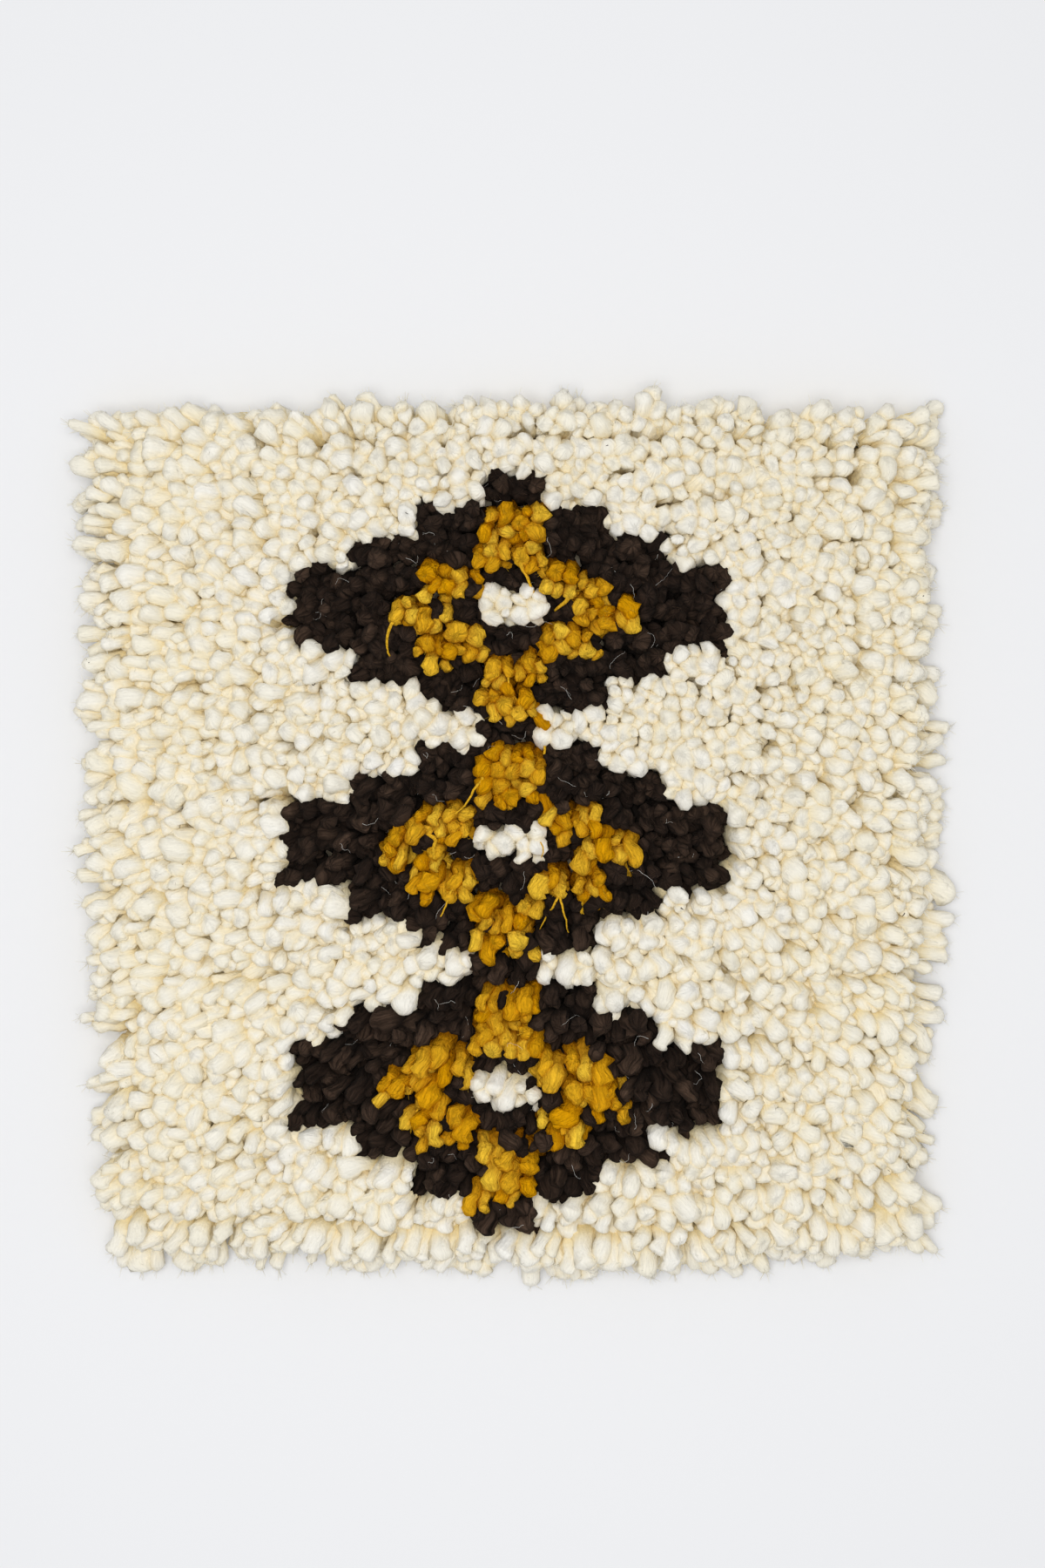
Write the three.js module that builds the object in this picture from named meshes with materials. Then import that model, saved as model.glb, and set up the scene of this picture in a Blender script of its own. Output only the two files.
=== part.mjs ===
// Square shag rug, hand knotted in thick wool and lying flat. Millimetres, +Z up, the rug's head end
// towards +Y. The knotted ground and its cut pile are one piece of cloth, so they are one solid: a lumpy
// slab whose lumps are the tufts in their rows, with the outermost ends as locks that splay over its rim.
import * as THREE from "three";

// The slab's outline at its rim. The rug narrows a little towards its foot, and its ends bow outwards.
const OUTLINE = {
  halfLength: 237,
  halfWidthHead: 242,
  halfWidthFoot: 231,
  headBow: 3,
  footBow: 8,
  wave: 2.2,
};

// The pile is tied in rows from side to side, and each knot's ends stand together as one tuft.
const PILE = {
  rows: 28,
  tuftsPerRow: 26,
  furrowDepth: 9,
  topShare: 0.5,
  lumpiness: 2.6,
  wander: 1.3,
  lean: 2.6,
  leanCentreY: 110,
};

// How high each yarn's tufts stand over the floor: the dark wool is cut short, with the mustard proud of it.
const CREST = { cream: 34, dark: 28, mustard: 33 };

// The wall below the rim: three rings of points, drawn in towards the ground cloth's cut edge on the floor.
const WALL = {
  rimHeight: 20,
  waistHeight: 10,
  waistOut: 1.5,
  footInset: 6,
};

// The locks in the upper band stand out and up, and those in the lower band lie along the floor.
const LOCKS = {
  upper: { reach: 10, spread: 7, rise: 3.5, riseSpread: 3 },
  lower: { reach: 8, spread: 5, rise: 0, riseSpread: 0 },
  bellyAt: 0.55,
  bellyScale: 1.12,
  tipScale: 0.5,
  sway: 3.4,
  cornerSplay: 0.45,
  bandGap: 0.6,
};

// Single locks that reach further than the rest. at is the share of the side's length, anticlockwise.
const STRAYS = [
  { side: "head", at: 0.03, reach: 21 },
  { side: "head", at: 0.45, reach: 20 },
  { side: "head", at: 0.68, reach: 19 },
  { side: "head", at: 0.93, reach: 20 },
  { side: "right", at: 0.62, reach: 23 },
  { side: "left", at: 0.37, reach: 18 },
  { side: "foot", at: 0.3, reach: 17 },
];

// One stepped lozenge as the knotter's chart: # dark, o mustard, . cream. One mark is one tuft.
const LOZENGE = [
  "......##......",
  "....##oo##....",
  "..####oo####..",
  "####oo##oo####",
  "###oo#..#oo###",
  "####oo##oo####",
  "..####oo####..",
  "....##oo##....",
  "......##......",
];
const CHAIN = { lozenges: 3, firstRow: 2, sharedRows: 1 };
const YARN_OF_MARK = { "#": "dark", o: "mustard", ".": "cream" };

const MATERIALS = {
  cream_wool: { color: 0xeae4cf, roughness: 0.95, metalness: 0 },
};

// A repeatable scatter between -1 and 1 for a pair of counts and a use.
function scatter(first, second, use) {
  const wild = Math.sin(first * 127.1 + second * 311.7 + use * 74.7) * 43758.5453;
  return 2 * (wild - Math.floor(wild)) - 1;
}

// Where a point of the pile lies in plan. across and along run from -1 to 1, along from foot to head.
function planPoint(across, along) {
  const { halfLength, halfWidthHead, halfWidthFoot, headBow, footBow, wave } = OUTLINE;
  const halfWidth = THREE.MathUtils.lerp(halfWidthFoot, halfWidthHead, (along + 1) / 2);
  const bow = (along > 0 ? headBow : -footBow) * along * along * (1 - across * across);
  const x = across * halfWidth + wave * Math.sin(5.1 * along + 1.3 * across) * Math.abs(across);
  const y = along * halfLength + bow + wave * Math.sin(4.3 * across + 0.8) * along;
  return new THREE.Vector2(x, y);
}

// Which yarn a tuft is tied in. Rows count from the head, and a place off the rug is cream.
function yarnAt(row, tuft) {
  const step = LOZENGE.length - CHAIN.sharedRows;
  const lastRow = step * CHAIN.lozenges;
  const chainRow = row - CHAIN.firstRow;
  if (chainRow < 0 || chainRow > lastRow) return "cream";
  const chartRow = chainRow === lastRow ? step : chainRow % step;
  const mark = LOZENGE[chartRow][tuft - (PILE.tuftsPerRow - LOZENGE[0].length) / 2];
  return YARN_OF_MARK[mark ?? "."];
}

// The height of a tuft's top. line counts the rows from the foot.
function crestHeight(line, column) {
  const { rows, tuftsPerRow } = PILE;
  const atEdge = line === 0 || line === rows - 1 || column === 0 || column === tuftsPerRow - 1;
  return CREST[yarnAt(rows - 1 - line, column)] - (atEdge ? 3 : 0);
}

// Points and triangles of one closed surface, gathered as it is built.
class Surface {
  constructor() {
    this.points = [];
    this.triangles = [];
  }
  point(x, y, z) {
    this.points.push(new THREE.Vector3(x, y, z));
    return this.points.length - 1;
  }
  triangle(a, b, c) {
    this.triangles.push(a, b, c);
  }
  quad(a, b, c, d) {
    this.triangle(a, b, c);
    this.triangle(a, c, d);
  }
  geometry() {
    const geometry = new THREE.BufferGeometry();
    const coordinates = this.points.flatMap((p) => p.toArray());
    geometry.setAttribute("position", new THREE.Float32BufferAttribute(coordinates, 3));
    geometry.setIndex(this.triangles);
    return geometry;
  }
}

// The furrow points between the tufts as rows of indices. The outermost ones are the rim.
function addFurrows(surface) {
  const { rows, tuftsPerRow, furrowDepth, lumpiness } = PILE;
  const grid = [];
  for (let line = 0; line <= rows; line += 1) {
    const indices = [];
    for (let column = 0; column <= tuftsPerRow; column += 1) {
      const atRim = line === 0 || line === rows || column === 0 || column === tuftsPerRow;
      const place = planPoint((2 * column) / tuftsPerRow - 1, (2 * line) / rows - 1);
      const lowest = Math.min(
        crestHeight(line, column),
        crestHeight(line - 1, column),
        crestHeight(line, column - 1),
        crestHeight(line - 1, column - 1),
      );
      const height = atRim
        ? WALL.rimHeight + scatter(line, column, 1)
        : lowest - furrowDepth + 0.5 * lumpiness * scatter(line, column, 2);
      indices.push(surface.point(place.x, place.y, height));
    }
    grid.push(indices);
  }
  return grid;
}

// One more rim point in the middle of each outer tuft's outer side, so that the tuft has two wall cells.
function addRimMiddles(surface) {
  const { rows, tuftsPerRow } = PILE;
  const middleAt = (across, along, use) => {
    const place = planPoint(across, along);
    return surface.point(place.x, place.y, WALL.rimHeight + scatter(across * 40, along * 40, use));
  };
  const overTufts = Array.from({ length: tuftsPerRow }, (_, i) => (2 * i + 1) / tuftsPerRow - 1);
  const overRows = Array.from({ length: rows }, (_, i) => (2 * i + 1) / rows - 1);
  return {
    foot: overTufts.map((across) => middleAt(across, -1, 3)),
    right: overRows.map((along) => middleAt(1, along, 4)),
    head: overTufts.map((across) => middleAt(across, 1, 5)),
    left: overRows.map((along) => middleAt(-1, along, 6)),
  };
}

// The four corners of a tuft's top. It leans away from the part of the rug where the pile stands upright.
function addTuftTop(surface, line, column) {
  const { rows, tuftsPerRow, topShare, lumpiness, wander, lean, leanCentreY } = PILE;
  const across = (2 * column + 1) / tuftsPerRow - 1;
  const along = (2 * line + 1) / rows - 1;
  const place = planPoint(across, along);
  const away = new THREE.Vector2(place.x, place.y - leanCentreY).divideScalar(OUTLINE.halfLength);
  away.clampLength(0, 1);
  const centreX = place.x + lean * away.x + wander * scatter(line, column, 7);
  const centreY = place.y + lean * away.y + wander * scatter(line, column, 8);
  const crest = crestHeight(line, column) + 0.5 * lumpiness * scatter(line, column, 9);
  const halfTop = (topShare * OUTLINE.halfWidthFoot) / tuftsPerRow;
  const signs = [[-1, -1], [1, -1], [1, 1], [-1, 1]];
  return signs.map(([signX, signY], corner) => {
    const size = halfTop * (1 + 0.22 * scatter(line, column, 10 + corner));
    const drop = 0.6 * lumpiness * (1 + scatter(line, column, 20 + corner));
    return surface.point(centreX + signX * size, centreY + signY * size, crest - drop);
  });
}

// One side of a tuft, from the furrow up to the edge of its top. A middle point splits the furrow's side.
function addTuftSide(surface, start, middle, end, topEnd, topStart) {
  if (middle === undefined) {
    surface.quad(start, end, topEnd, topStart);
    return;
  }
  surface.triangle(start, middle, topStart);
  surface.triangle(middle, end, topEnd);
  surface.triangle(middle, topEnd, topStart);
}

function addTufts(surface, grid, middles) {
  const { rows, tuftsPerRow } = PILE;
  for (let line = 0; line < rows; line += 1) {
    for (let column = 0; column < tuftsPerRow; column += 1) {
      const [a, b] = [grid[line][column], grid[line][column + 1]];
      const [d, c] = [grid[line + 1][column], grid[line + 1][column + 1]];
      const [topA, topB, topC, topD] = addTuftTop(surface, line, column);
      const footMiddle = line === 0 ? middles.foot[column] : undefined;
      const rightMiddle = column === tuftsPerRow - 1 ? middles.right[line] : undefined;
      const headMiddle = line === rows - 1 ? middles.head[column] : undefined;
      const leftMiddle = column === 0 ? middles.left[line] : undefined;
      addTuftSide(surface, a, footMiddle, b, topB, topA);
      addTuftSide(surface, b, rightMiddle, c, topC, topB);
      addTuftSide(surface, c, headMiddle, d, topD, topC);
      addTuftSide(surface, d, leftMiddle, a, topA, topD);
      surface.quad(topA, topB, topC, topD);
    }
  }
}

// The rim's points in order, anticlockwise from above, each with the side that the wall cell after it is on.
function rimLoop(grid, middles) {
  const { rows, tuftsPerRow } = PILE;
  const corners = {
    foot: grid[0].slice(0, tuftsPerRow),
    right: grid.slice(0, rows).map((indices) => indices[tuftsPerRow]),
    head: grid[rows].slice(1).reverse(),
    left: grid.slice(1).map((indices) => indices[0]).reverse(),
  };
  const between = {
    foot: middles.foot,
    right: middles.right,
    head: [...middles.head].reverse(),
    left: [...middles.left].reverse(),
  };
  return ["foot", "right", "head", "left"].flatMap((side) => {
    const cells = corners[side].flatMap((index, i) => [index, between[side][i]]);
    const halfCell = 0.5 / cells.length;
    return cells.map((index, i) => ({ index, side, at: (2 * i + 1) * halfCell, halfCell }));
  });
}

const OUTWARDS = {
  foot: new THREE.Vector3(0, -1, 0),
  right: new THREE.Vector3(1, 0, 0),
  head: new THREE.Vector3(0, 1, 0),
  left: new THREE.Vector3(-1, 0, 0),
};

// A ring of wall points below the rim, moved outwards by the same amount all round, at one height.
function addRing(surface, loop, outBy, height) {
  return loop.map((cell, k) => {
    const before = loop[(k + loop.length - 1) % loop.length];
    const outwards = OUTWARDS[cell.side].clone().add(OUTWARDS[before.side]).normalize();
    const rim = surface.points[cell.index];
    return surface.point(rim.x + outBy * outwards.x, rim.y + outBy * outwards.y, height);
  });
}

// How far the lock in one wall cell reaches.
function lockReach(cell, k, band) {
  const stray = STRAYS.find((s) => s.side === cell.side && Math.abs(s.at - cell.at) <= 2 * cell.halfCell);
  if (stray && band === LOCKS.upper) return stray.reach;
  return band.reach + 0.5 * band.spread * (1 + scatter(k, band.reach, 30));
}

// Grows a four-sided lock out of one wall cell, whose corners run anticlockwise from outside.
function addLock(surface, root, cell, k, band) {
  const corners = root.map((index) => surface.points[index].clone());
  const centre = corners.reduce((sum, p) => sum.add(p), new THREE.Vector3()).divideScalar(4);
  const outwards = OUTWARDS[cell.side];
  const along = new THREE.Vector3(-outwards.y, outwards.x, 0);
  const reach = lockReach(cell, k, band);
  const splay = LOCKS.cornerSplay * (2 * cell.at - 1) ** 3 * reach;
  const sway = splay + LOCKS.sway * scatter(k, band.spread, 31);
  const rise = band.rise + band.riseSpread * scatter(k, band.spread, 32);
  const isUpper = band === LOCKS.upper;
  const lowest = isUpper ? WALL.waistHeight + LOCKS.bandGap : 0;
  const highest = isUpper ? Infinity : WALL.waistHeight - LOCKS.bandGap;
  const section = (share, scale) => {
    const middle = centre.clone().addScaledVector(outwards, reach * share);
    middle.addScaledVector(along, sway * share * share);
    middle.z += rise * share;
    return corners.map((corner) => {
      const p = corner.clone().sub(centre).multiplyScalar(scale).add(middle);
      return surface.point(p.x, p.y, THREE.MathUtils.clamp(p.z, lowest, highest));
    });
  };
  const sections = [root, section(LOCKS.bellyAt, LOCKS.bellyScale), section(1, LOCKS.tipScale)];
  for (let s = 0; s < sections.length - 1; s += 1) {
    for (let i = 0; i < 4; i += 1) {
      const next = (i + 1) % 4;
      surface.quad(sections[s][i], sections[s][next], sections[s + 1][next], sections[s + 1][i]);
    }
  }
  surface.quad(...sections[sections.length - 1]);
}

// One band of the wall between two rings. Every second cell grows a lock.
function addWallBand(surface, loop, lower, upper, band, firstLock) {
  loop.forEach((cell, k) => {
    const next = (k + 1) % loop.length;
    const corners = [lower[k], lower[next], upper[next], upper[k]];
    if (k % 2 === firstLock) {
      addLock(surface, corners, cell, k, band);
    } else {
      surface.quad(...corners);
    }
  });
}

// The flat underside, in one plane on the floor.
function addUnderside(surface, foot) {
  const outline = foot.map((index) => new THREE.Vector2(surface.points[index].x, surface.points[index].y));
  THREE.ShapeUtils.triangulateShape(outline, []).forEach(([a, b, c]) => {
    surface.triangle(foot[a], foot[c], foot[b]);
  });
}

function shagSlab() {
  const surface = new Surface();
  const grid = addFurrows(surface);
  const middles = addRimMiddles(surface);
  addTufts(surface, grid, middles);
  const loop = rimLoop(grid, middles);
  const rim = loop.map((cell) => cell.index);
  const waist = addRing(surface, loop, WALL.waistOut, WALL.waistHeight);
  const foot = addRing(surface, loop, -WALL.footInset, 0);
  addWallBand(surface, loop, waist, rim, LOCKS.upper, 0);
  addWallBand(surface, loop, foot, waist, LOCKS.lower, 1);
  addUnderside(surface, foot);
  const geometry = surface.geometry();
  geometry.computeBoundingBox();
  const middle = geometry.boundingBox.getCenter(new THREE.Vector3());
  geometry.translate(-middle.x, -middle.y, 0);
  geometry.computeVertexNormals();
  return geometry;
}

const rug = new THREE.Group();
const pile = new THREE.Mesh(shagSlab(), new THREE.MeshStandardMaterial(MATERIALS.cream_wool));
pile.name = "shag_pile";
rug.add(pile);

export default rug;
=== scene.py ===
import math

import bpy
import numpy as np
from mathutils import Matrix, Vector


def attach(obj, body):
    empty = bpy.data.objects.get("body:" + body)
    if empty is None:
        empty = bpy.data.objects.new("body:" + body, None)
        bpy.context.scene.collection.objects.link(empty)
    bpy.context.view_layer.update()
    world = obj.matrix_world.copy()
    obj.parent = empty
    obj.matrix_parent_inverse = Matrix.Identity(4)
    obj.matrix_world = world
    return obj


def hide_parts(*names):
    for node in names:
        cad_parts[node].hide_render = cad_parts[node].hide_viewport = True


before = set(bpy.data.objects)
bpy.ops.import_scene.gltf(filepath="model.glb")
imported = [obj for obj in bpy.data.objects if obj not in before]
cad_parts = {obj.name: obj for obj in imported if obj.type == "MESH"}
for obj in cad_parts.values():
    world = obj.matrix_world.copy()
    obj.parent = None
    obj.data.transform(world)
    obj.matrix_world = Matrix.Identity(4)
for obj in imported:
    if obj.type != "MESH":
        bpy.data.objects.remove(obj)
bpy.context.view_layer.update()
print("frame loaded")

# The rug's layout in metres, as its solid has it. Rows run from side to side and count from the head.
rug = {
    "rows": 28,
    "tuftsPerRow": 26,
    "halfLength": 0.237,
    "halfWidthHead": 0.242,
    "halfWidthFoot": 0.231,
    "headBow": 0.003,
    "footBow": 0.008,
    "wave": 0.0022,
    "footShift": -0.004,
    "shiftY": 0.0075,
    "ground": 0.0035,  # the ground cloth's top
    "underside": 0.0013,  # its lower face, with the knots' backs below it
}

# One stepped lozenge as the knotter's chart: # dark, o mustard, . cream. One mark is one tuft.
lozenge = [
    "......##......",
    "....##oo##....",
    "..####oo####..",
    "####oo##oo####",
    "###oo#..#oo###",
    "####oo##oo####",
    "..####oo####..",
    "....##oo##....",
    "......##......",
]
chain = {"lozenges": 3, "firstRow": 2, "sharedRows": 1}
cream, brown, mustard = 0, 1, 2
yarnOfMark = {".": cream, "#": brown, "o": mustard}

# How the pile leans: away from one spot where it stands upright, and more at the rim. Past tierFrom it comes
# to lie in tiers, each row's ends side by side over the next row.
lean = {
    "centreX": 0.045,
    "centreY": 0.15,
    "upright": 0.02,
    "fullAt": 0.34,
    "most": 0.0195,
    "lengthwise": 0.62,  # the lean's share along the rug's length
    "rim": 0.0060,
    "rimHead": 0.0100,
    "rimFoot": 0.0125,
    "rimFade": 0.011,
    "rimScatter": 0.34,
    "scatter": 0.0018,
    "veer": 0.24,  # how far the lean turns from radial, in radians: a slow wander, and each tuft's own
    "veerScatter": 0.19,
    "wander": 0.0016,  # how far the knots wander from their even rows, and each tuft's own
    "tuftScatter": 0.0010,
    "tierFrom": 0.08,
    "tierTo": 0.30,
    "tierLift": 0.0032,
    "tierReach": (0.04, -0.25),  # how much farther the upper ends reach, across and along the rug
    "tierCalm": 0.4,  # how much of the scatter along the pile's length goes where it lies in tiers
}

# The yarn ends, in metres. Where there are three values, they are for cream, brown and mustard.
pile = {
    "seed": 11,
    "surfaceSeed": 5,
    "rootScale": (0.945, 0.972),  # the knots stand a little inside the pile's rim
    "ends": ((5, 5, 6, 6), (5, 5, 6, 6), (4, 5, 5, 5)),
    "rimTufts": 1.5,  # a tuft is at the rim if its middle is fewer half tufts than this from the edge
    "rimEnds": 2,  # more ends in each of these, which lie low over the rim
    "rimSpread": 1.9,  # how much farther those at the sides spread along the rim
    # one short end in each tuft fills the gaps: it comes from beside its row where the pile lies in tiers,
    # and from between four tufts where the pile is upright, and there it is longer
    "shortLength": 0.62,
    "shortAside": 0.0058,
    "shortCorner": (0.0082, -0.0076),
    "cornerLength": 0.20,
    "shortSpread": 0.3,
    "brownInMustard": 0.12,
    "height": (0.0250, 0.0205, 0.0245),
    "extra": (0.0, 0.001, 0.008),  # length that lies over the row below
    "extraShare": (0.5, 1.2),  # each end takes this much of it
    "extraReach": 0.9,  # and lies this much of that farther down
    "lengthSpread": 0.09,
    "tuftLengthSpread": 0.05,
    "radius": (0.0052, 0.0047, 0.0043),
    "radiusSpread": 0.20,
    "rimRadius": 0.92,  # the outermost ends are a little thinner
    "thinnest": 0.0030,
    "thickest": 0.0070,
    "spreadX": 0.0068,
    "spreadY": 0.0062,
    "colouredSpread": 0.72,  # the brown and mustard tufts are this much narrower along the rug
    "rootSpread": 0.35,  # the share of the spread that is there at the roots
    "combY": 0.0045,
    "lowRoot": 0.004,
    "lowSlack": 0.004,
    "lowPush": 0.0034,
    "lowRise": 0.42,  # how much of its rise a low end keeps, so that it hides the ground cloth's edge
    "leastRise": 0.25,
    "knotLevel": 0.6,  # where the roots are, as a share of the ground cloth's height
    # how far the curve's inner points are from the root and from the tip, as shares of the yarn's length
    "rootPull": 0.42,
    "lowRootPull": 0.21,
    "tipPull": 0.34,
    "tiltAt": 0.8,  # a yarn that reaches this share of its length aside lies level at its tip
    "mostTilt": 1.15,
}
# How crowded yarns settle. Beads are the shares of a yarn's length that push on its neighbours, and crowding
# is how near they may come, in radii.
settling = {
    "beads": (0.45, 0.72, 1.0),
    "crowding": (0.70, 0.66, 0.90),
    "shortCrowding": 0.6,
    "steps": 40,
    "within": 0.020,  # beads farther apart than this never meet
    "push": 0.32,
    "homePull": 0.05,
    "straighten": 0.6,
    "trimFrom": 0.0300,
    "trimShare": 0.35,
}
# The lowest a surface may be, over the ground cloth and past its edge, and a loose fibre's highest.
clearance = {
    "clothAcross": 0.965,
    "clothAlong": 0.99,
    "overCloth": 0.0022,
    "overFloor": 0.0006,
    "bead": 0.0008,
    "ceiling": 0.0440,
}


def smooth(low, high, value):
    # 3s^2 - 2s^3, where s is the value's share of the way from low to high
    share = np.clip((value - low) / (high - low), 0, 1)
    return share * share * (3 - 2 * share)


def unit(vectors):
    return vectors / (np.linalg.norm(vectors, axis=-1, keepdims=True) + 1e-12)


def pick(table, mask):
    return {name: values[mask] for name, values in table.items()}


def halfWidthAt(along):
    return rug["halfWidthFoot"] + (rug["halfWidthHead"] - rug["halfWidthFoot"]) * (along + 1) / 2


def planPoint(across, along):
    # across and along run from -1 to 1; x = across * half width and y = along * half length, with a bow of
    # along^2 * (1 - across^2) at the ends and a wave
    halfWidth = halfWidthAt(along)
    bow = np.where(along > 0, rug["headBow"], -rug["footBow"]) * along**2 * (1 - across**2)
    x = across * halfWidth + rug["wave"] * np.sin(5.1 * along + 1.3 * across) * np.abs(across)
    y = along * rug["halfLength"] + bow + rug["wave"] * np.sin(4.3 * across + 0.8) * along
    return x + rug["footShift"] * (1 - along) / 2, y + rug["shiftY"]


def knotPoint(x, y):
    # where a tuft is tied: its place in the pile, scaled towards the middle
    return pile["rootScale"][0] * x, rug["shiftY"] + pile["rootScale"][1] * (y - rug["shiftY"])


def knotChart():
    # the whole rug's chart as yarn numbers, with the lozenges in a chain that share their tips
    height = len(lozenge)
    marks = np.array([[yarnOfMark[mark] for mark in row] for row in lozenge])
    chart = np.full((rug["rows"], rug["tuftsPerRow"]), cream)
    left = (rug["tuftsPerRow"] - marks.shape[1]) // 2
    for i in range(chain["lozenges"]):
        top = chain["firstRow"] + i * (height - chain["sharedRows"])
        chart[top:top + height, left:left + marks.shape[1]] = marks
    return chart


def tuftTable():
    # one entry for each tuft: its place on the chart, its yarn, its root in plan, and the gap to the figure
    chart = knotChart()
    row, column = np.mgrid[0:rug["rows"], 0:rug["tuftsPerRow"]]
    across = (2 * column + 1) / rug["tuftsPerRow"] - 1
    along = 1 - (2 * row + 1) / rug["rows"]
    x, y = planPoint(across, along)
    figureX, figureY = x[chart != cream], y[chart != cream]
    gap = np.hypot(x[..., None] - figureX, y[..., None] - figureY).min(-1)
    table = {"row": row, "column": column, "across": across, "along": along, "x": x, "y": y}
    table.update(yarn=chart, gap=gap)
    return {name: values.ravel() for name, values in table.items()}


def edgeGaps(across, along):
    return (1 - np.abs(across)) * rug["halfWidthHead"], (1 - np.abs(along)) * rug["halfLength"]


def leanAt(x, y, across, along):
    # the offset of a yarn's end from its root: radial from the upright spot, and a push outwards at the rim
    dx, dy = x - lean["centreX"], y - lean["centreY"]
    distance = np.hypot(dx, dy) + 1e-9
    push = lean["most"] * smooth(lean["upright"], lean["fullAt"], distance)
    fromSide, fromEnd = edgeGaps(across, along)
    rimX = np.sign(across) * lean["rim"] * np.exp(-fromSide / lean["rimFade"])
    rimY = np.where(along > 0, lean["rimHead"], -lean["rimFoot"]) * np.exp(-fromEnd / lean["rimFade"])
    radial = np.stack([push * dx / distance, lean["lengthwise"] * push * dy / distance], -1)
    return radial, np.stack([rimX, rimY], -1), smooth(lean["tierFrom"], lean["tierTo"], distance)


def drift(x, y, phase):
    # an even wander over the plan, between -1 and 1: sines of x and of y that bend each other, at two sizes
    total = 0
    for share, across, down in ((0.65, 9.0, 12.0), (0.35, 23.0, 27.0)):
        bendX = 0.35 * np.sin(2 * math.pi * 0.8 * down * y + phase)
        bendY = 0.35 * np.sin(2 * math.pi * across * x - phase)
        first = np.sin(2 * math.pi * (across * x + bendX) + 2.1 * phase)
        second = np.sin(2 * math.pi * (down * y + bendY) + 0.7 * phase)
        total = total + share * 0.5 * (first + second)
    return total


def nearPairs(points, owner, within):
    # all pairs of points of different owners that lie within a distance, found block by block
    size = (points**2).sum(1)
    found = []
    for start in range(0, len(points), 1500):
        block = points[start:start + 1500]
        apart = (block**2).sum(1)[:, None] + size[None, :] - 2 * block @ points.T
        i, j = np.nonzero(apart < within**2)
        i += start
        keep = (i < j) & (owner[i] != owner[j])
        found.append(np.stack([i[keep], j[keep]]))
    return np.concatenate(found, 1)


def settle(root, beads, radius, crowding):
    # Crowded yarns push each other apart. Each step moves overlapping beads away from each other by part of
    # their overlap, pulls all a little way home, and restores the distances along each yarn.
    count, each = beads.shape[:2]
    home = beads.copy()
    rest = np.linalg.norm(np.diff(np.concatenate([root[:, None], beads], 1), axis=1), axis=-1)
    reach = np.repeat(crowding * radius, each)
    owner = np.repeat(np.arange(count), each)
    i, j = nearPairs(beads.reshape(-1, 3), owner, settling["within"])
    for step in range(settling["steps"]):
        flat = beads.reshape(-1, 3)
        gap = flat[i] - flat[j]
        distance = np.sqrt((gap**2).sum(1)) + 1e-7
        overlap = np.clip(reach[i] + reach[j] - distance, 0, None)
        push = gap * (settling["push"] * overlap / distance)[:, None]
        moved = np.stack([
            np.bincount(i, push[:, k], len(flat)) - np.bincount(j, push[:, k], len(flat)) for k in range(3)
        ], 1)
        beads = beads + moved.reshape(beads.shape) + settling["homePull"] * (home - beads)
        before = root
        for k in range(each):
            straight = before + rest[:, k, None] * unit(beads[:, k] - before)
            beads[:, k] = (1 - settling["straighten"]) * beads[:, k] + settling["straighten"] * straight
            before = beads[:, k]
        beads[..., 2] = np.maximum(beads[..., 2], radius[:, None] + clearance["bead"])
    over = np.clip(beads[..., 2] - settling["trimFrom"], 0, None)
    beads[..., 2] -= (1 - settling["trimShare"]) * over
    return beads


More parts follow.
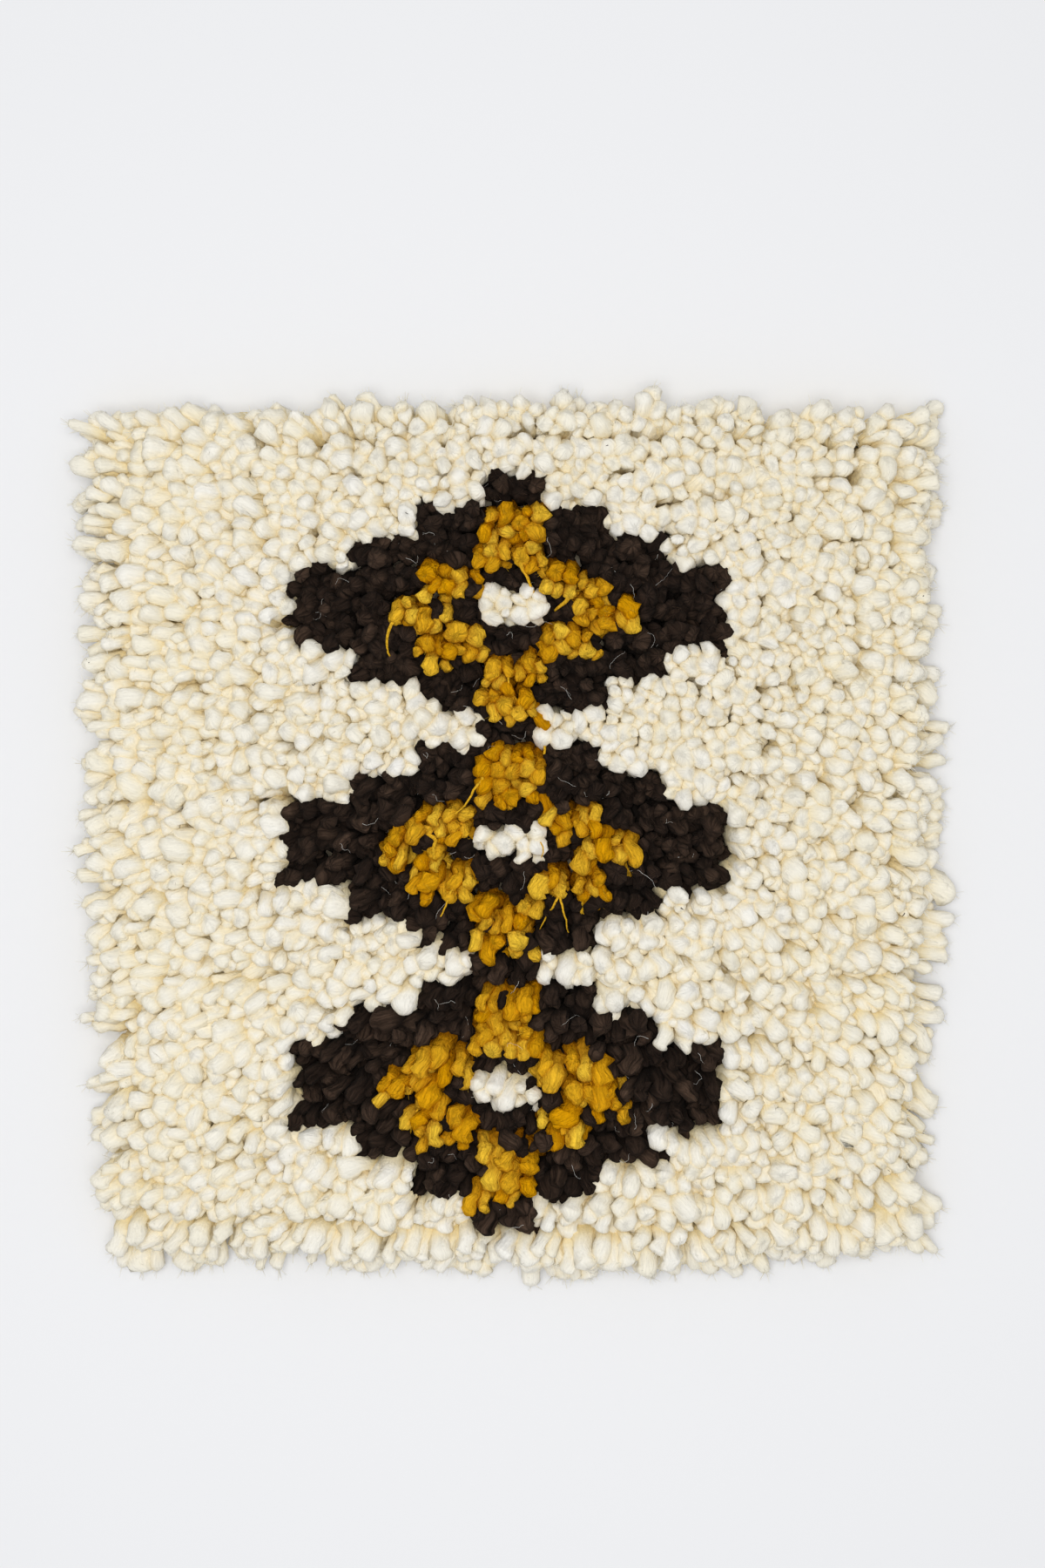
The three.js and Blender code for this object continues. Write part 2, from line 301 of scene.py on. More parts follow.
def yarnEnds():
    # one entry for each cut yarn end, with its root and its beads along the way to the tip
    random = np.random.default_rng(pile["seed"])
    tufts = tuftTable()
    atEnd = np.abs(tufts["along"]) > 1 - pile["rimTufts"] / rug["rows"]
    atSide = np.abs(tufts["across"]) > 1 - pile["rimTufts"] / rug["tuftsPerRow"]
    upper = np.select([tufts["yarn"] == yarn for yarn in (cream, brown, mustard)],
                      [random.choice(choices, len(atEnd)) for choices in pile["ends"]])
    ends = upper + 1 + pile["rimEnds"] * (atEnd | atSide)
    own = random.standard_normal((4, len(ends)))
    veer = lean["veer"] * drift(tufts["x"], tufts["y"], 2.0) + lean["veerScatter"] * own[0]
    for axis, phase, k in (("x", 0.5, 1), ("y", 4.1, 2)):
        wander = lean["wander"] * drift(tufts["x"], tufts["y"], phase)
        tufts[axis] = tufts[axis] + wander + lean["tuftScatter"] * own[k]
    which = np.repeat(np.arange(len(ends)), ends)
    order = np.arange(len(which)) - np.repeat(np.cumsum(ends) - ends, ends)
    end = pick(tufts, which)
    count = len(which)
    upper = upper[which]
    short = order == upper
    low = (order > upper)[:, None]
    mixed = (end["yarn"] == mustard) & (random.random(count) < pile["brownInMustard"])
    end["yarn"] = np.where(mixed, brown, end["yarn"])
    swell = np.exp(pile["radiusSpread"] * random.standard_normal(count))
    radius = np.array(pile["radius"])[end["yarn"]] * swell
    radius = radius * np.where((atEnd | atSide)[which], pile["rimRadius"], 1)
    radius = np.clip(radius, pile["thinnest"], pile["thickest"])

    # the ends of a tuft stand round it where the pile is upright, and side by side where it lies in tiers
    radial, rim, tier = leanAt(end["x"], end["y"], end["across"], end["along"])
    cosVeer, sinVeer = np.cos(veer[which]), np.sin(veer[which])
    radial = np.stack([
        radial[:, 0] * cosVeer - radial[:, 1] * sinVeer,
        radial[:, 0] * sinVeer + radial[:, 1] * cosVeer,
    ], 1)
    turn = 2 * math.pi * (order / upper + random.random(len(ends))[which])
    ring = np.stack([pile["spreadX"] * np.cos(turn), pile["spreadY"] * np.sin(turn)], 1)
    pitch = 2 * rug["halfWidthHead"] / rug["tuftsPerRow"]
    comb = np.stack([pitch * ((order + 0.5) / upper - 0.5), pile["combY"] * np.sin(turn)], 1)
    ring[:, 1] *= np.where(end["yarn"] == cream, 1, pile["colouredSpread"])
    spread = (ring + tier[:, None] * (comb - ring)) * np.where(short, pile["shortSpread"], 1)[:, None]
    aside = pile["shortAside"] * np.where(turn % 2 < 1, 1.0, -1.0)
    spread[:, 1] += np.where(short, aside * tier, 0)
    upright = np.where(short, 1 - tier, 0)
    spread = spread + upright[:, None] * np.array(pile["shortCorner"])
    spread[:, 1] *= np.where(low[:, 0] & atSide[which], pile["rimSpread"], 1)
    layer = np.where(order % 2 == 0, 1.0, -1.0) * tier
    height = np.array(pile["height"])[end["yarn"]] + lean["tierLift"] * layer
    extra = np.array(pile["extra"])[end["yarn"]] * random.uniform(*pile["extraShare"], count)
    rim = rim * (1 + lean["rimScatter"] * random.standard_normal(count))[:, None]
    outward = unit(rim)

    knot = np.stack(knotPoint(end["x"], end["y"]), 1)
    root = knot + pile["rootSpread"] * spread + np.where(low, pile["lowRoot"], 0) * outward
    tip = knot + spread + radial * (1 + np.array(lean["tierReach"]) * layer[:, None]) + rim
    tip = tip + np.where(low, pile["lowPush"], 0) * outward
    tip[:, 0] += lean["scatter"] * random.standard_normal(count)
    calm = lean["scatter"] * (1 - lean["tierCalm"] * tier)
    tip[:, 1] += calm * random.standard_normal(count) - pile["extraReach"] * extra
    offset = tip - root
    away = np.hypot(offset[:, 0], offset[:, 1]) + 1e-9
    length = np.hypot(height, np.hypot(radial[:, 0], radial[:, 1]))
    length = length * (1 + pile["tuftLengthSpread"] * own[3][which])
    length = length * (1 + pile["lengthSpread"] * random.standard_normal(count)) + extra
    length = length * np.where(short, pile["shortLength"] + pile["cornerLength"] * upright, 1)
    length = np.where(low[:, 0], away + pile["lowSlack"], length)
    rise = np.sqrt(np.clip(length**2 - away**2, (pile["leastRise"] * length)**2, None))
    rise = rise * np.where(low[:, 0], pile["lowRise"], 1)
    root = np.concatenate([root, np.full((count, 1), pile["knotLevel"] * rug["ground"])], 1)
    tip = np.concatenate([tip, (rug["ground"] + rise)[:, None]], 1)

    # the yarn leaves its knot upright and comes in to its tip along tipWay, as a cubic curve of four points:
    # (1 - t)^3 a + 3 (1 - t)^2 t b + 3 (1 - t) t^2 c + t^3 d
    tilt = np.clip(away / (pile["tiltAt"] * length), 0, pile["mostTilt"])[:, None] * math.pi / 2
    tipWay = np.concatenate([offset / away[:, None] * np.sin(tilt), np.cos(tilt)], 1)
    rootPull = np.where(low, pile["lowRootPull"], pile["rootPull"])
    second = root + rootPull * length[:, None] * np.array([0.0, 0.0, 1.0])
    third = tip - pile["tipPull"] * length[:, None] * tipWay
    t = np.array(settling["beads"])[None, :, None]
    a, b, c, d = (p[:, None, :] for p in (root, second, third, tip))
    beads = (1 - t)**3 * a + 3 * (1 - t)**2 * t * b + 3 * (1 - t) * t**2 * c + t**3 * d
    end.update(root=root, radius=radius, length=length)
    crowding = np.array(settling["crowding"])[end["yarn"]] * np.where(short, settling["shortCrowding"], 1)
    end["beads"] = settle(root, beads, radius, crowding)
    return end


# The forms of a cut end: its sides and its sections along the yarn, and how uneven it is. Places along it
# are shares of its length.
woolForm = {
    "sides": 8,
    "sections": (0, 0.40, 0.64, 0.82, 1),
    "capAngles": (20.0, 40.0, 58.0, 75.0),
    "capLength": 0.92,  # the round end past the last section, in radii
    "rootScale": 0.85,
    "rootTo": 0.4,
    "middle": 0.34,  # how much thicker the yarn is below its upper half, which closes the gaps there
    "middleAt": 0.38,
    "middleSize": 0.18,
    "neck": 0.20,
    "neckAt": (0.55, 0.80),
    "neckSize": 0.10,
    "lump": 0.10,
    "lumps": ((1, 1.0, 14), (2, 0.95, 20), (3, 0.60, -17)),  # waves round it, their size and their turn
    "ripple": 0.05,
    "rippleTurns": (1.5, 3.6),
    "flat": 0.17,
    "plies": 0.0,
    "turnsPerMetre": 0.0,
    "pinch": 0.0,
    "pinchesPerMetre": 0.0,
    "rough": 0.055,
}
mustardForm = dict(
    woolForm,
    sections=(0, 0.32, 0.47, 0.59, 0.69, 0.78, 0.87, 1),
    capAngles=(26.0, 50.0, 72.0),
    lump=0.085,
    flat=0.12,
    plies=0.12,
    turnsPerMetre=48.0,
    pinch=0.12,
    pinchesPerMetre=175.0,
    rough=0.085,
)
brownForm = dict(
    woolForm,
    sections=(0, 0.40, 0.60, 0.74, 0.88, 1),
    middle=0.45,
    lump=0.11,
    ripple=0.08,
    pinch=0.10,
    pinchesPerMetre=170.0,
    rough=0.10,
)
# A slow unevenness of the whole pile, which every yarn follows: size in metres, and waves for each metre.
sway = {"size": 0.0008, "waves": 78.0, "fineSize": 0.00022, "fineWaves": 190.0}


def lowestAt(points):
    # over the ground cloth the yarns stay above its underside, and past its edge they may come down to
    # the floor
    along = (points[..., 1] - rug["shiftY"]) / rug["halfLength"]
    across = (points[..., 0] - rug["footShift"] * (1 - along) / 2) / halfWidthAt(along)
    overCloth = (np.abs(along) < clearance["clothAlong"]) & (np.abs(across) < clearance["clothAcross"])
    return np.where(overCloth, clearance["overCloth"], clearance["overFloor"])


def curveWeights(knots, t):
    # the weights that make a smooth curve pass through its knots: for each knot, the product over the others
    # of (t - other) / (place - other)
    weights = np.ones((len(t), len(knots)))
    for k, place in enumerate(knots):
        for other in knots[:k] + knots[k + 1:]:
            weights[:, k] *= (t - other) / (place - other)
    return weights


def swayed(points):
    # each coordinate moves by a sum of sines of the other two, at two sizes
    moved = np.zeros_like(points)
    for size, waves in ((sway["size"], sway["waves"]), (sway["fineSize"], sway["fineWaves"])):
        turn = 2 * math.pi * waves * points
        for k in range(3):
            other, third = (k + 1) % 3, (k + 2) % 3
            moved[..., k] += size * np.sin(turn[..., other] + 1.7 * k + 0.6 * np.sin(0.7 * turn[..., third]))
    return points + moved


def tubeFaces(count, sides, rings):
    # quads between the rings and a fan at each pole, for a number of tubes with their poles as the last
    # two points
    ring = np.arange(rings - 1)[:, None] * sides
    lane = np.arange(sides)[None, :]
    following = (lane + 1) % sides
    quads = np.stack([ring + lane, ring + following, ring + sides + following, ring + sides + lane], -1)
    lane, following = lane[0], following[0]
    last = (rings - 1) * sides
    fans = np.concatenate([
        np.stack([np.full(sides, rings * sides), following, lane], -1),
        np.stack([np.full(sides, rings * sides + 1), last + lane, last + following], -1),
    ])
    shift = (np.arange(count) * (rings * sides + 2))[:, None, None]
    return (quads.reshape(1, -1, 4) + shift).reshape(-1, 4), (fans[None] + shift).reshape(-1, 3)


def strandTubes(end, form, random):
    # each end is a closed tube: rings about a curve through its root and beads, and past the last a round
    # cap, with its rings at sin(cap angle) of its length and cos(cap angle) of the width
    root, beads, radius, length = end["root"], end["beads"], end["radius"], end["length"]
    count, sides = len(radius), form["sides"]
    knots = [0.0, *settling["beads"]]
    t = np.array(form["sections"], float)
    control = np.concatenate([root[:, None], beads], 1)
    centre = np.einsum("tk,nkd->ntd", curveWeights(knots, t), control)
    slope = curveWeights(knots, t + 0.01) - curveWeights(knots, t - 0.01)
    heading = unit(np.einsum("tk,nkd->ntd", slope, control))
    tipWay = heading[:, -1:]
    capAngle = np.radians(form["capAngles"])
    capShift = form["capLength"] * radius[:, None, None] * np.sin(capAngle)[None, :, None]
    centre = np.concatenate([centre, centre[:, -1:] + capShift * tipWay], 1)
    heading = np.concatenate([heading, np.repeat(tipWay, len(capAngle), 1)], 1)
    taper = np.concatenate([np.ones(len(t)), np.cos(capAngle)])
    t = np.concatenate([t, 1 + 0.12 * np.sin(capAngle)])
    rings = len(t)

    out = beads[:, -1] - root
    side = unit(np.stack([-out[:, 1], out[:, 0], np.zeros(count)], 1) + 1e-9)[:, None, :]
    acrossB = unit(side - (side * heading).sum(-1, keepdims=True) * heading)
    acrossA = np.cross(acrossB, heading)

    # radius = size * (1 + lumps round it) * (1 + plies that turn along it) * (1 + pinches) * (1 + roughness)
    # and size swells in the middle, narrows at a neck and ripples along the yarn
    neckAt = random.uniform(*form["neckAt"], (count, 1))
    neck = form["neck"] * random.random((count, 1))
    rippleTurns = random.uniform(*form["rippleTurns"], (count, 1))
    phase = random.uniform(0, 2 * math.pi, (count, 7, 1, 1))
    run = t[None, :, None] * length[:, None, None]
    size = form["rootScale"] + (1 - form["rootScale"]) * smooth(0, form["rootTo"], t)[None, :]
    size = size * (1 + form["middle"] * np.exp(-((t - form["middleAt"]) / form["middleSize"])**2))
    size = size * (1 - neck * np.exp(-((t - neckAt) / form["neckSize"])**2))
    size = size * (1 + form["ripple"] * np.sin(2 * math.pi * rippleTurns * t + phase[:, 0, 0]))
    angle = 2 * math.pi * np.arange(sides)[None, None, :] / sides
    q = t[None, :, None]
    lump = 1
    for k, (waves, share, turn) in enumerate(form["lumps"]):
        lump = lump + share * form["lump"] * np.sin(waves * angle + phase[:, k + 1] + turn * q)
    plies = 1 + form["plies"] * np.cos(2 * (angle - 2 * math.pi * form["turnsPerMetre"] * run) + phase[:, 4])
    pinchTurn = 2 * math.pi * form["pinchesPerMetre"] * run
    pinch = 1 + form["pinch"] * np.sin(pinchTurn + phase[:, 5] + 0.8 * angle)
    rough = 1 + form["rough"] * np.clip(random.standard_normal(lump.shape), -2, 2)
    reach = (radius[:, None] * size * taper)[..., None] * lump * plies * pinch * rough
    flat = 1 + form["flat"] * random.uniform(-1, 1, (count, 1, 1))
    points = centre[:, :, None, :] + (reach * np.cos(angle) * flat)[..., None] * acrossA[:, :, None, :]
    points = points + (reach * np.sin(angle) / flat)[..., None] * acrossB[:, :, None, :]
    apex = beads[:, -1] + form["capLength"] * radius[:, None] * tipWay[:, 0]
    poles = np.stack([root, apex], 1)
    vertices = swayed(np.concatenate([points.reshape(count, rings * sides, 3), poles], 1))
    vertices[..., 2] = np.maximum(vertices[..., 2], lowestAt(vertices))

    # what the materials read: the place on the yarn, with a shift of its own, and the share of the way to
    # the tip, which is 1.13 at the apex
    ones = np.ones((count, rings, sides))
    thick = radius[:, None, None]
    place = np.stack([thick * np.cos(angle) * ones, thick * np.sin(angle) * ones, run * ones], -1)
    apexShare = 1.13
    polePlace = np.zeros((count, 2, 3))
    polePlace[:, 1, 2] = apexShare * length
    place = np.concatenate([place.reshape(count, -1, 3), polePlace], 1) + random.uniform(0, 1, (count, 1, 3))
    quads, triangles = tubeFaces(count, sides, rings)
    return {
        "points": vertices.reshape(-1, 3),
        "quads": quads,
        "triangles": triangles,
        "place": place.reshape(-1, 3),
        "share": np.tile(np.concatenate([np.repeat(t, sides), [0, apexShare]]), count),
        "each": rings * sides + 2,
    }


# How the painted shade in the creases between neighbouring yarns spreads: in metres, but for the number of
# neighbours.
crease = {"neighbours": 14, "fade": 0.0015, "depth": 0.008, "least": 0.5}


def creaseShares(points, index, end):
    # How deep each surface point lies in the crease to its neighbours: exp(-d / fade), where d is how far
    # the point is outside the nearest neighbour's upper half, a rod between that yarn's last two beads. It
    # is less near the tip's height. The materials paint shade into the creases by this share.
    tips, before, radius = end["beads"][:, -1], end["beads"][:, -2], end["radius"]
    apart = ((tips[index][:, None] - tips[None])**2).sum(-1)
    apart[np.arange(len(index)), index] = 1
    near = np.argpartition(apart, crease["neighbours"], 1)[:, :crease["neighbours"]]
    surface = points.reshape(len(index), -1, 3)
    nearest = np.full(surface.shape[:2], 1.0)
    for k in range(crease["neighbours"]):
        start = before[near[:, k]][:, None]
        way = tips[near[:, k]][:, None] - start
        share = np.clip(((surface - start) * way).sum(-1) / (way * way).sum(-1), 0, 1)
        distance = np.linalg.norm(surface - start - share[..., None] * way, axis=-1)
        nearest = np.minimum(nearest, distance - radius[near[:, k]][:, None])
    below = np.clip((tips[index][:, None, 2] - surface[..., 2]) / crease["depth"], 0, 1)
    deep = np.exp(-np.clip(nearest, 0, None) / crease["fade"])
    return np.clip(deep * (crease["least"] + (1 - crease["least"]) * below), 0, 1).ravel()


def looseFibres(start, heading, length, radius, kind, random):
    # thin closed tubes: each section's heading is the one before with a random turn of size curl, the radius
    # narrows evenly to the tip, and the tubes are flatter than they are wide
    curl, sides, sections = kind["curl"], kind["sides"], kind["sections"]
    count = len(start)
    centre, way = [start], [unit(heading)]
    for step in range(sections - 1):
        turned = unit(way[-1] + curl * random.standard_normal((count, 3)))
        centre.append(centre[-1] + turned * (length / (sections - 1))[:, None])
        way.append(turned)
    centre, way = np.stack(centre, 1), np.stack(way, 1)
    acrossB = unit(np.cross(way, np.array([0.31, 0.17, 0.93])))
    acrossA = np.cross(acrossB, way)
    angle = 2 * math.pi * np.arange(sides) / sides
    narrow = np.linspace(1, 0.45, sections)[None, :] * radius[:, None]
    thin = (0.4 * narrow[..., None] * np.cos(angle))[..., None] * acrossA[:, :, None, :]
    wide = (narrow[..., None] * np.sin(angle))[..., None] * acrossB[:, :, None, :]
    points = centre[:, :, None, :] + thin + wide
    tip = centre[:, -1:] + 0.5 * radius[:, None, None] * way[:, -1:]
    vertices = np.concatenate([points.reshape(count, -1, 3), centre[:, :1], tip], 1)
    vertices[..., 2] = np.maximum(vertices[..., 2], clearance["overFloor"])
    vertices[..., 2] -= np.clip(vertices[..., 2].max(1, keepdims=True) - clearance["ceiling"], 0, None)
    quads, triangles = tubeFaces(count, sides, sections)
    share = np.concatenate([np.full(sides * sections, 0.95), [0.95, 1.0]])
    return {
        "points": vertices.reshape(-1, 3),
        "quads": quads,
        "triangles": triangles,
        "place": vertices.reshape(-1, 3),
        "share": np.tile(share, count),
        "each": sides * sections + 2,
    }


def makePiece(name, shape, material, floats):
    # fills a mesh from arrays of points, quads and triangles, with named values at each point
    points, quads, triangles = shape["points"], shape["quads"], shape["triangles"]
    mesh = bpy.data.meshes.new(name)
    mesh.vertices.add(len(points))
    mesh.vertices.foreach_set("co", points.astype(np.float32).ravel())
    corners = np.concatenate([quads.ravel(), triangles.ravel()]).astype(np.int32)
    starts = np.concatenate([4 * np.arange(len(quads)), 4 * len(quads) + 3 * np.arange(len(triangles))])
    mesh.loops.add(len(corners))
    mesh.loops.foreach_set("vertex_index", corners)
    mesh.polygons.add(len(starts))
    mesh.polygons.foreach_set("loop_start", starts.astype(np.int32))
    mesh.polygons.foreach_set("use_smooth", np.ones(len(starts), bool))
    mesh.update(calc_edges=True)
    mesh.validate()
    place = mesh.attributes.new("yarnPlace", "FLOAT_VECTOR", "POINT")
    place.data.foreach_set("vector", shape["place"].astype(np.float32).ravel())
    for key, values in floats.items():
        entry = mesh.attributes.new(key, "FLOAT", "POINT")
        entry.data.foreach_set("value", np.broadcast_to(values, len(points)).astype(np.float32))
    mesh.materials.append(material)
    piece = bpy.data.objects.new(name, mesh)
    bpy.context.scene.collection.objects.link(piece)
    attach(piece, "root")
    print(name, len(points), "points", 2 * len(quads) + len(triangles), "triangles")
    return piece


def addNode(tree, kind, **values):
    node = tree.nodes.new(kind)
    for name, value in values.items():
        setattr(node, name, value)
    return node


def addGroup(name, inputs, outputs):
    group = bpy.data.node_groups.new(name, "ShaderNodeTree")
    for socket, kind in inputs:
        group.interface.new_socket(socket, in_out="INPUT", socket_type="NodeSocket" + kind)
    for socket, kind in outputs:
        group.interface.new_socket(socket, in_out="OUTPUT", socket_type="NodeSocket" + kind)
    return group, addNode(group, "NodeGroupInput"), addNode(group, "NodeGroupOutput")


def feltGroup():
    # Felted wool from a place on the yarn: fine fibres that run along it, over softer mats that are as long
    # as they are wide
    inputs = (("Place", "Vector"), ("Fibres", "Float"), ("Mats", "Float"), ("Fibre Share", "Float"))
    group, source, sink = addGroup("feltedWool", inputs, (("Streak", "Float"), ("Height", "Float")))
    link = group.links.new
    stretch = addNode(group, "ShaderNodeVectorMath", operation="MULTIPLY")
    stretch.inputs[1].default_value = (1, 1, 0.22)
    fibres = addNode(group, "ShaderNodeTexNoise")
    fibres.inputs["Detail"].default_value = 3
    fibres.inputs["Roughness"].default_value = 0.65
    fibres.inputs["Distortion"].default_value = 0.6
    mats = addNode(group, "ShaderNodeTexNoise")
    mats.inputs["Detail"].default_value = 2
    blend = addNode(group, "ShaderNodeMix")
    link(source.outputs["Place"], stretch.inputs[0])
    link(stretch.outputs[0], fibres.inputs["Vector"])
    link(source.outputs["Fibres"], fibres.inputs["Scale"])
    link(source.outputs["Place"], mats.inputs["Vector"])
    link(source.outputs["Mats"], mats.inputs["Scale"])
    link(source.outputs["Fibre Share"], blend.inputs[0])
    link(mats.outputs["Fac"], blend.inputs[2])
    link(fibres.outputs["Fac"], blend.inputs[3])
    link(fibres.outputs["Fac"], sink.inputs["Streak"])
    link(blend.outputs[0], sink.inputs["Height"])
    return group


def feed(tree, node, values):
    # each value, a socket or a plain one, goes to the input of its number
    for index, value in values:
        if isinstance(value, bpy.types.NodeSocket):
            tree.links.new(value, node.inputs[index])
        else:
            node.inputs[index].default_value = value


def mixColours(tree, share, first, second, blend="MIX"):
    mix = addNode(tree, "ShaderNodeMix", data_type="RGBA", blend_type=blend)
    feed(tree, mix, ((0, share), (6, first), (7, second)))
    return mix.outputs[2]


def mathNode(tree, operation, *values):
    node = addNode(tree, "ShaderNodeMath", operation=operation)
    feed(tree, node, enumerate(values))
    return node.outputs[0]


def colourGroup():
    # The yarn's colour: from plain to pale by its tone, to a painted shade low down towards the root, to a
    # painted shade in the creases between neighbours, times 1 + size * streak, where the streak runs from -1
    # to 1
    floats = ("Tone", "Tip Share", "Crease", "Streak", "Root To", "Tip From", "Streak Size")
    colours = ("Plain", "Pale", "Painted Root Shade", "Painted Crease Shade")
    inputs = [(name, "Float") for name in floats] + [(name, "Color") for name in colours]
    group, source, sink = addGroup("woolColour", inputs, (("Colour", "Color"),))
    link = group.links.new
    given = source.outputs
    depth = addNode(group, "ShaderNodeMapRange", interpolation_type="SMOOTHSTEP")
    link(given["Tip Share"], depth.inputs["Value"])
    link(given["Root To"], depth.inputs["From Min"])
    link(given["Tip From"], depth.inputs["From Max"])
    swing = addNode(group, "ShaderNodeMapRange")
    swing.inputs["From Min"].default_value = 0.3
    swing.inputs["From Max"].default_value = 0.7
    swing.inputs["To Min"].default_value = -1
    link(given["Streak"], swing.inputs["Value"])
    factor = mathNode(group, "MULTIPLY_ADD", swing.outputs["Result"], given["Streak Size"], 1)
    tinted = mixColours(group, given["Tone"], given["Plain"], given["Pale"])
    # painted shade, darker low on the yarn towards its root, deep in the pile
    rootShaded = mixColours(group, depth.outputs["Result"], given["Painted Root Shade"], tinted)
    # painted shade in the creases between neighbouring yarns
    shaded = mixColours(group, given["Crease"], rootShaded, given["Painted Crease Shade"])
    link(mixColours(group, 1.0, shaded, factor, "MULTIPLY"), sink.inputs["Colour"])
    return group


woolGroup, woolColours = feltGroup(), colourGroup()


def plainMaterial(name, roughness, specular):
    material = bpy.data.materials.new(name)
    material.use_nodes = True
    shader = material.node_tree.nodes["Principled BSDF"]
    shader.inputs["Roughness"].default_value = roughness
    shader.inputs["Specular IOR Level"].default_value = specular
    return material, material.node_tree, shader


def woolMaterial(name, look):
    material, tree, shader = plainMaterial(name, look["roughness"], look["specular"])
    link = tree.links.new
    wool = addNode(tree, "ShaderNodeGroup")
    wool.node_tree = woolGroup
    colour = addNode(tree, "ShaderNodeGroup")
    colour.node_tree = woolColours
    bump = addNode(tree, "ShaderNodeBump")
    values = (
        (wool, "Fibres", "fibres"),
        (wool, "Mats", "mats"),
        (wool, "Fibre Share", "fibreShare"),
        (colour, "Root To", "rootTo"),
        (colour, "Tip From", "tipFrom"),
        (colour, "Streak Size", "streak"),
        (bump, "Strength", "bump"),
        (bump, "Distance", "bumpDepth"),
        (shader, "Sheen Weight", "sheen"),
        (shader, "Sheen Roughness", "sheenRoughness"),
    )
    for node, socket, key in values:
        node.inputs[socket].default_value = look[key]
    for socket, key in (("Plain", "plain"), ("Pale", "pale"), ("Painted Root Shade", "root"), ("Painted Crease Shade", "crease")):
        colour.inputs[socket].default_value = (*look[key], 1)
    shader.inputs["Sheen Tint"].default_value = (*look["sheenTint"], 1)
    for attribute, socket in (("strandTone", "Tone"), ("tipShare", "Tip Share"), ("crease", "Crease")):
        given = addNode(tree, "ShaderNodeAttribute", attribute_name=attribute)
        link(given.outputs["Fac"], colour.inputs[socket])
    place = addNode(tree, "ShaderNodeAttribute", attribute_name="yarnPlace")
    link(place.outputs["Vector"], wool.inputs["Place"])
    link(wool.outputs["Streak"], colour.inputs["Streak"])
    link(colour.outputs["Colour"], shader.inputs["Base Color"])
    link(wool.outputs["Height"], bump.inputs["Height"])
    link(bump.outputs["Normal"], shader.inputs["Normal"])
    return material


creamLook = {
    "plain": (0.930, 0.880, 0.735),
    "pale": (0.955, 0.935, 0.880),
    # root: painted shade, a darker tan low on each yarn, deep in the pile
    "root": (0.89, 0.72, 0.36),
    # crease: painted shade, a deeper warm tan in the creases between yarns
    "crease": (0.89, 0.73, 0.40),
    "rootTo": 0.40,
    "tipFrom": 0.92,
    "streak": 0.05,
    "fibres": 900.0,
    "mats": 400.0,
    "fibreShare": 0.45,
    "bump": 0.8,
    "bumpDepth": 0.0019,
    "roughness": 0.95,
    "specular": 0.2,
    "sheen": 0.2,
    "sheenRoughness": 0.6,
    "sheenTint": (1.0, 0.95, 0.85),
}
fibreLook = dict(creamLook, plain=(0.93, 0.88, 0.72), streak=0.0, bump=0.0, sheen=0.0)
brownLook = dict(
    creamLook,
    plain=(0.022, 0.0135, 0.0096),
    pale=(0.064, 0.039, 0.026),
    # root: painted shade, near black low on each yarn, so that each end's top reads lighter
    root=(0.006, 0.004, 0.003),
    # crease: painted shade, near black in the creases between the brown yarns
    crease=(0.0025, 0.0015, 0.0010),
    streak=0.85,
    fibres=430.0,
    mats=330.0,
    bump=1.0,
    bumpDepth=0.0038,
    specular=0.05,
    sheen=0.03,
    sheenTint=(0.8, 0.65, 0.55),
)
mustardLook = dict(
    creamLook,
    plain=(0.70, 0.325, 0.002),
    pale=(0.97, 0.62, 0.050),
    # root: painted shade, a dark orange low on each yarn
    root=(0.30, 0.11, 0.001),
    # crease: painted shade, a dark orange in the creases between the mustard yarns
    crease=(0.36, 0.125, 0.001),
    streak=0.3,
    fibres=650.0,
    mats=380.0,
    bump=1.0,
    bumpDepth=0.0040,
    specular=0.02,
    sheen=0.0,
)

end = yarnEnds()
tops = np.percentile(end["beads"][:, -1, 2] + end["radius"], (5, 50, 95, 100))
print(len(end["radius"]), "yarn ends, tops at", tops)
random = np.random.default_rng(pile["surfaceSeed"])
creamMaterial = woolMaterial("creamWool", creamLook)
fibreMaterial = woolMaterial("creamFibres", fibreLook)
brownMaterial = woolMaterial("brownWool", brownLook)
mustardMaterial = woolMaterial("mustardWool", mustardLook)
isCream = end["yarn"] == cream

# The pile's pieces, with the rows at which the cream is divided, and how pale a yarn is: the cream by its
# distance from the figure, in metres, and the others at random.
divided = {"headRows": 7, "footFrom": 21}
tones = {"least": 0.22, "nearFigure": 0.55, "fade": 0.03, "scatter": 0.18, "colouredPower": 1.5}
atHead = end["row"] < divided["headRows"]
atFoot = end["row"] >= divided["footFrom"]
leftHalf = end["column"] < rug["tuftsPerRow"] // 2
parts = {
    "cream_pile_head": (creamMaterial, "cream_wool", woolForm, isCream & atHead),
    "cream_pile_left": (creamMaterial, "cream_wool", woolForm, isCream & ~atHead & ~atFoot & leftHalf),
    "cream_pile_right": (creamMaterial, "cream_wool", woolForm, isCream & ~atHead & ~atFoot & ~leftHalf),
    "cream_pile_foot": (creamMaterial, "cream_wool", woolForm, isCream & atFoot),
    "brown_pile": (brownMaterial, "brown_wool", brownForm, end["yarn"] == brown),
    "mustard_pile": (mustardMaterial, "mustard_wool", mustardForm, end["yarn"] == mustard),
}
